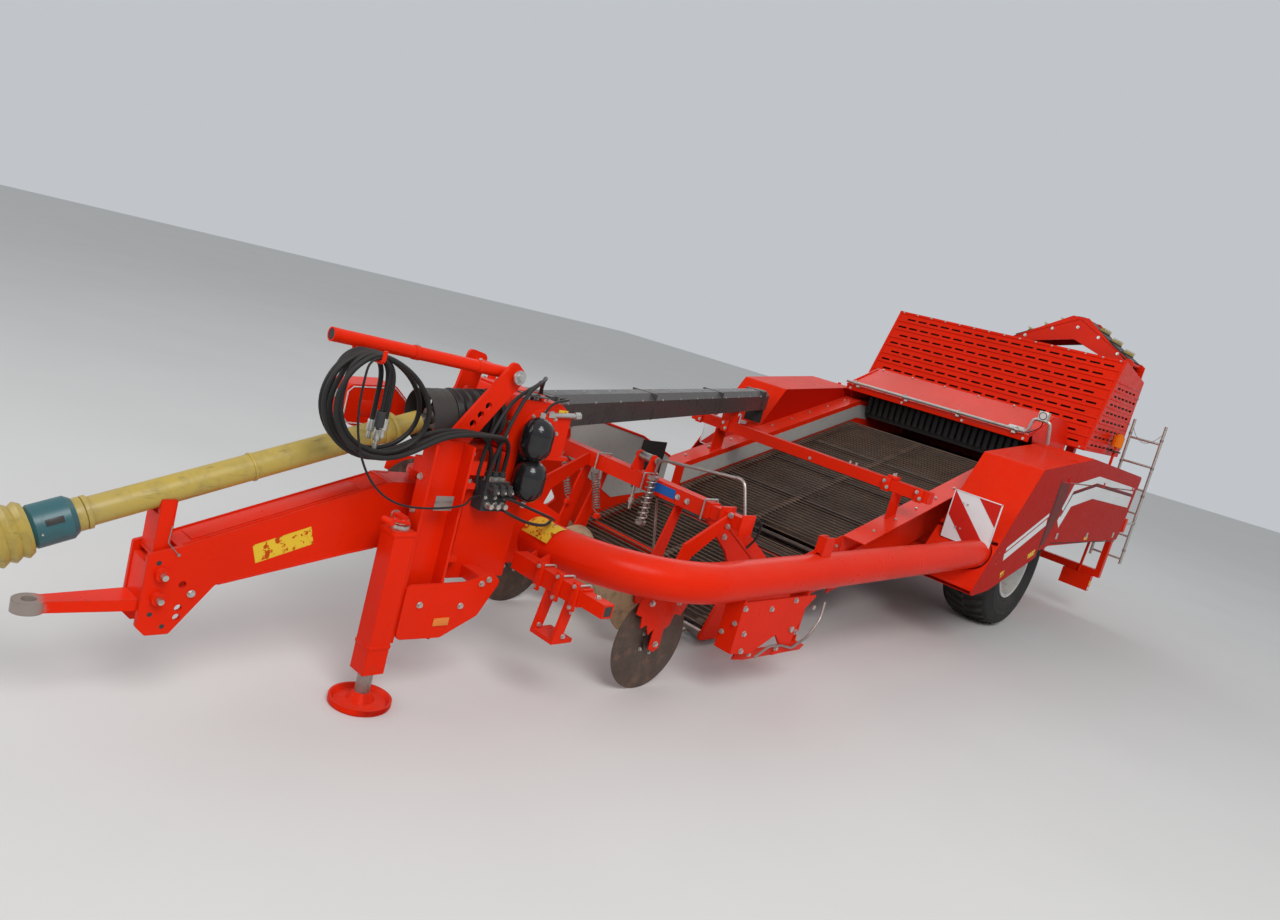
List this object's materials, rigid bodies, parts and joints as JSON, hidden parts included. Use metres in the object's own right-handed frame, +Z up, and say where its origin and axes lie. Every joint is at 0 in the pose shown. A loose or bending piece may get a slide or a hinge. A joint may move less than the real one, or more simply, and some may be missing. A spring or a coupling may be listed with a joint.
{
  "type": "potato harvester",
  "caption": "Trailed potato harvester with drawbar, curved main tube, disc and ridge-roller intake, rod webs, slotted elevator with folded neck, on two wheels and a jack.",
  "frame": {"origin": "on the ground under the middle of the machine, hoses left out", "axes": "+X to the rear, +Y to the machine's right side, +Z up"},
  "size_m": [11.2752, 3.311, 3.274],
  "materials": {
    "paint_red": "gloss, worn and dusty",
    "paint_dark_red": "gloss, worn and dusty",
    "frame_grey": "satin",
    "bare_steel": "worn",
    "zinc": "galvanised",
    "black_rubber": "matte",
    "black_plastic": "matte",
    "yellow_plastic": "satin",
    "teal_plastic": "satin",
    "tyre_rubber": "matte",
    "rim_white": "satin",
    "roller_tan": "worn",
    "board_white": "reflective",
    "lamp_orange": "clear"
  },
  "bodies": {
    "chassis": {"head": "paint_red", "gearbox": "paint_red", "pto_bell": "black_rubber", "pto_line_guard": "black_plastic", "hose_arm": "paint_red", "accumulators": "black_rubber", "valve_block": "frame_grey", "hose_1": "black_rubber", "hose_2": "black_rubber", "hose_3": "black_rubber", "cable_1": "black_rubber", "hose_plugs": "bare_steel", "tool_case": "paint_red", "lower_bracket": "paint_red", "jack_tube": "paint_red", "main_tube": "paint_red", "toolbar": "paint_red", "tube_brackets": "paint_red", "frame": "paint_red", "axle": "frame_grey", "side_wall_left": "paint_red", "side_wall_right": "paint_red", "cross_beam": "paint_red", "main_web": "bare_steel", "web_rollers": "frame_grey", "cross_web": "black_rubber", "finger_curtain": "black_rubber", "cowl_left": "paint_dark_red", "cowl_right": "paint_dark_red", "hood": "paint_red", "hood_rail": "zinc", "warning_boards": "board_white", "lamps": "lamp_orange", "ladder": "zinc"},
    "drawbar": {"drawbar": "paint_red", "tow_eye": "bare_steel"},
    "jack_leg": {"jack_leg": "paint_dark_red"},
    "power_shaft": {"pto_guard": "yellow_plastic", "pto_collar": "teal_plastic"},
    "yoke": {"pto_yoke": "bare_steel"},
    "intake": {"intake_frame": "paint_red", "shares": "bare_steel", "front_web": "bare_steel", "front_rollers": "frame_grey", "intake_springs": "frame_grey"},
    "disc_left": {"disc_left": "bare_steel"},
    "disc_middle": {"disc_middle": "bare_steel"},
    "disc_right": {"disc_right": "bare_steel"},
    "ridge_left": {"ridge_roller_left": "roller_tan"},
    "ridge_right": {"ridge_roller_right": "roller_tan"},
    "wheel_left": {"tyre_left": "tyre_rubber", "rim_left": "rim_white"},
    "wheel_right": {"tyre_right": "tyre_rubber", "rim_right": "rim_white"},
    "door_left": {"door_left": "paint_dark_red"},
    "door_right": {"door_right": "paint_dark_red"},
    "elevator": {"elevator_box": "paint_red"},
    "neck": {"elevator_neck": "paint_red", "neck_belt": "black_rubber"}
  },
  "joints": [
    {"name": "drawbar_swivel", "type": "hinge", "parent": "chassis", "child": "drawbar", "pos_m": [-3.7, -0.7, 0.87], "axis": [0, 0, 1], "range_deg": [-8, 8]},
    {"name": "pto_lift", "type": "hinge", "parent": "drawbar", "child": "power_shaft", "pos_m": [-3.7, -0.7, 1.344], "axis": [0, 1, 0], "range_deg": [0, 20]},
    {"name": "pto_spin", "type": "hinge", "parent": "power_shaft", "child": "yoke", "pos_m": [-3.7, -0.7, 1.344], "axis": [0.9432, 0, 0.3322], "continuous": true},
    {"name": "jack_slide", "type": "slide", "parent": "chassis", "child": "jack_leg", "axis": [0, 0, 1], "range_m": [-0.09, 0]},
    {"name": "intake_lift", "type": "hinge", "parent": "chassis", "child": "intake", "pos_m": [0.1, 0, 0.41727], "axis": [0, 1, 0], "range_deg": [0, 6]},
    {"name": "disc_left_turn", "type": "hinge", "parent": "intake", "child": "disc_left", "pos_m": [-2.355, -1.25, 0.295], "axis": [0, 1, 0], "continuous": true},
    {"name": "disc_middle_turn", "type": "hinge", "parent": "intake", "child": "disc_middle", "pos_m": [-2.355, 0, 0.295], "axis": [0, 1, 0], "continuous": true},
    {"name": "disc_right_turn", "type": "hinge", "parent": "intake", "child": "disc_right", "pos_m": [-2.355, 1.25, 0.295], "axis": [0, 1, 0], "continuous": true},
    {"name": "ridge_left_turn", "type": "hinge", "parent": "intake", "child": "ridge_left", "pos_m": [-1.95, -0.43, 0.33], "axis": [0, 1, 0], "continuous": true},
    {"name": "ridge_right_turn", "type": "hinge", "parent": "intake", "child": "ridge_right", "pos_m": [-1.95, 0.43, 0.33], "axis": [0, 1, 0], "continuous": true},
    {"name": "wheel_left_turn", "type": "hinge", "parent": "chassis", "child": "wheel_left", "pos_m": [2.8, -1.175, 0.62], "axis": [0, 1, 0], "continuous": true},
    {"name": "wheel_right_turn", "type": "hinge", "parent": "chassis", "child": "wheel_right", "pos_m": [2.8, 1.175, 0.62], "axis": [0, 1, 0], "continuous": true},
    {"name": "door_left_swing", "type": "hinge", "parent": "chassis", "child": "door_left", "pos_m": [3.7, -1.65, 1.56], "axis": [-1, 0, 0], "range_deg": [0, 80]},
    {"name": "door_right_swing", "type": "hinge", "parent": "chassis", "child": "door_right", "pos_m": [3.7, 1.65, 1.56], "axis": [1, 0, 0], "range_deg": [0, 80]},
    {"name": "elevator_raise", "type": "hinge", "parent": "chassis", "child": "elevator", "pos_m": [4.7, 1.53, 1.805], "axis": [-1, 0, 0], "range_deg": [0, 60]},
    {"name": "neck_fold", "type": "hinge", "parent": "elevator", "child": "neck", "pos_m": [4.98, -1.19, 2.89], "axis": [1, 0, 0], "range_deg": [0, 110]}
  ]
}
